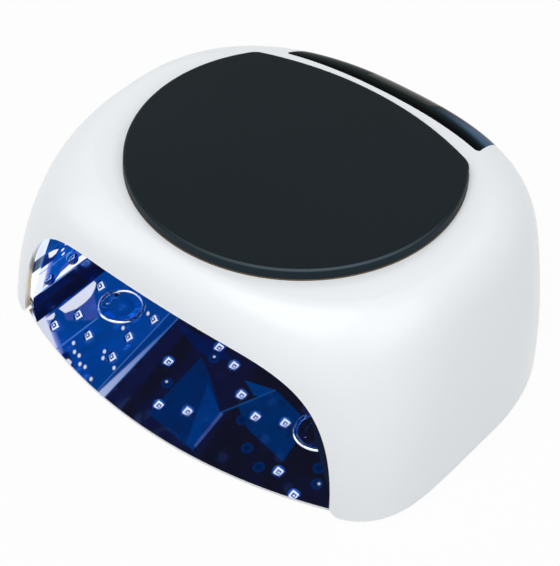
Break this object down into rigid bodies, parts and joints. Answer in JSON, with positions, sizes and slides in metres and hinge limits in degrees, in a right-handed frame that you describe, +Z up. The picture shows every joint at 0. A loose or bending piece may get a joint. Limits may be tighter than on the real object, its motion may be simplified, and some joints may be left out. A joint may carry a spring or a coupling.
{
  "type": "nail lamp",
  "caption": "Domed nail curing lamp with a mirror-lined hand cave, LED domes, a raised top panel, a rear control fascia with buttons and a lift-off tray.",
  "frame": {"origin": "on the floor, at the centre of the footprint's bounding box", "axes": "+X to the right for a person facing the hand opening, -Y out of the opening to the front, +Z up"},
  "size_m": [0.216, 0.1819, 0.0886],
  "materials": {
    "white_shell": "glossy white moulding",
    "black_panel": "fine matt, black with a teal cast",
    "cream_seal": "thin cream line",
    "black_fascia": "polished black",
    "smoked_lens": "smoked, clear",
    "display_body": "dark grey moulding",
    "digit_segments": "unlit segments",
    "green_board": "green lacquered board",
    "white_board": "white lacquered board",
    "steel_screws": "zinc-plated steel",
    "switch_body": "black moulding",
    "mirror_liner": "bright metallised plastic",
    "clear_dome": "clear dome",
    "emitter_chip": "pale violet-yellow square",
    "aluminium_spreader": "plain extruded",
    "infrared_dome": "dark infrared-clear dome",
    "inductor_core": "ferrite",
    "capacitor_can": "can",
    "chip_black": "moulded package",
    "plug_white": "cream moulding",
    "inlet_black": "black moulding",
    "inlet_pin_metal": "plated pin",
    "contact_brass": "spring contact",
    "white_frame": "white moulding",
    "magnet_metal": "nickel-plated",
    "mirror_tray": "polished sheet",
    "rubber_feet": "soft feet",
    "button_cap": "dark grey key",
    "plunger_plastic": "plunger"
  },
  "bodies": {
    "tray": {"base_tray": "mirror_tray", "tray_feet": "rubber_feet"},
    "housing": {"board_connectors": "plug_white", "bottom_frame": "white_frame", "ceiling_led_board": "white_board", "ceiling_led_chips": "emitter_chip", "ceiling_led_lenses": "clear_dome", "control_board": "green_board", "control_fascia": "black_fascia", "control_screws": "steel_screws", "display_digits": "digit_segments", "display_lens": "smoked_lens", "display_module": "display_body", "driver_board": "green_board", "driver_capacitors": "capacitor_can", "driver_chips": "chip_black", "driver_inductor": "inductor_core", "driver_screws": "steel_screws", "frame_screws": "steel_screws", "heat_spreader": "aluminium_spreader", "housing_shell": "white_shell", "infrared_emitter": "infrared_dome", "infrared_receiver": "infrared_dome", "inlet_contact": "contact_brass", "inlet_housing": "inlet_black", "inlet_pin": "inlet_pin_metal", "left_led_board": "white_board", "left_led_chips": "emitter_chip", "left_led_lenses": "clear_dome", "panel_seal": "cream_seal", "rear_led_board": "white_board", "rear_led_chips": "emitter_chip", "rear_led_lenses": "clear_dome", "reflector_chamber": "mirror_liner", "right_led_board": "white_board", "right_led_chips": "emitter_chip", "right_led_lenses": "clear_dome", "sensor_boards": "green_board", "spreader_screws": "steel_screws", "tact_switches": "switch_body", "top_panel": "black_panel", "tray_magnets": "magnet_metal"},
    "button_1": {"timer_button_1": "button_cap", "switch_plunger_1": "plunger_plastic"},
    "button_2": {"timer_button_2": "button_cap", "switch_plunger_2": "plunger_plastic"},
    "button_3": {"timer_button_3": "button_cap", "switch_plunger_3": "plunger_plastic"},
    "button_4": {"timer_button_4": "button_cap", "switch_plunger_4": "plunger_plastic"}
  },
  "joints": [
    {"name": "housing_lift", "type": "slide", "parent": "tray", "child": "housing", "axis": [0, 0, 1], "range_m": [0, 0.1]},
    {"name": "button_1_press", "type": "slide", "parent": "housing", "child": "button_1", "axis": [0, -0.7071, -0.7071], "range_m": [0, 0.0005], "stiffness_N_per_m": 1500, "springref_m": -0.0002},
    {"name": "button_2_press", "type": "slide", "parent": "housing", "child": "button_2", "axis": [0, -0.7071, -0.7071], "range_m": [0, 0.0005], "stiffness_N_per_m": 1500, "springref_m": -0.0002},
    {"name": "button_3_press", "type": "slide", "parent": "housing", "child": "button_3", "axis": [0, -0.7071, -0.7071], "range_m": [0, 0.0005], "stiffness_N_per_m": 1500, "springref_m": -0.0002},
    {"name": "button_4_press", "type": "slide", "parent": "housing", "child": "button_4", "axis": [0, -0.7071, -0.7071], "range_m": [0, 0.0005], "stiffness_N_per_m": 1500, "springref_m": -0.0002}
  ]
}
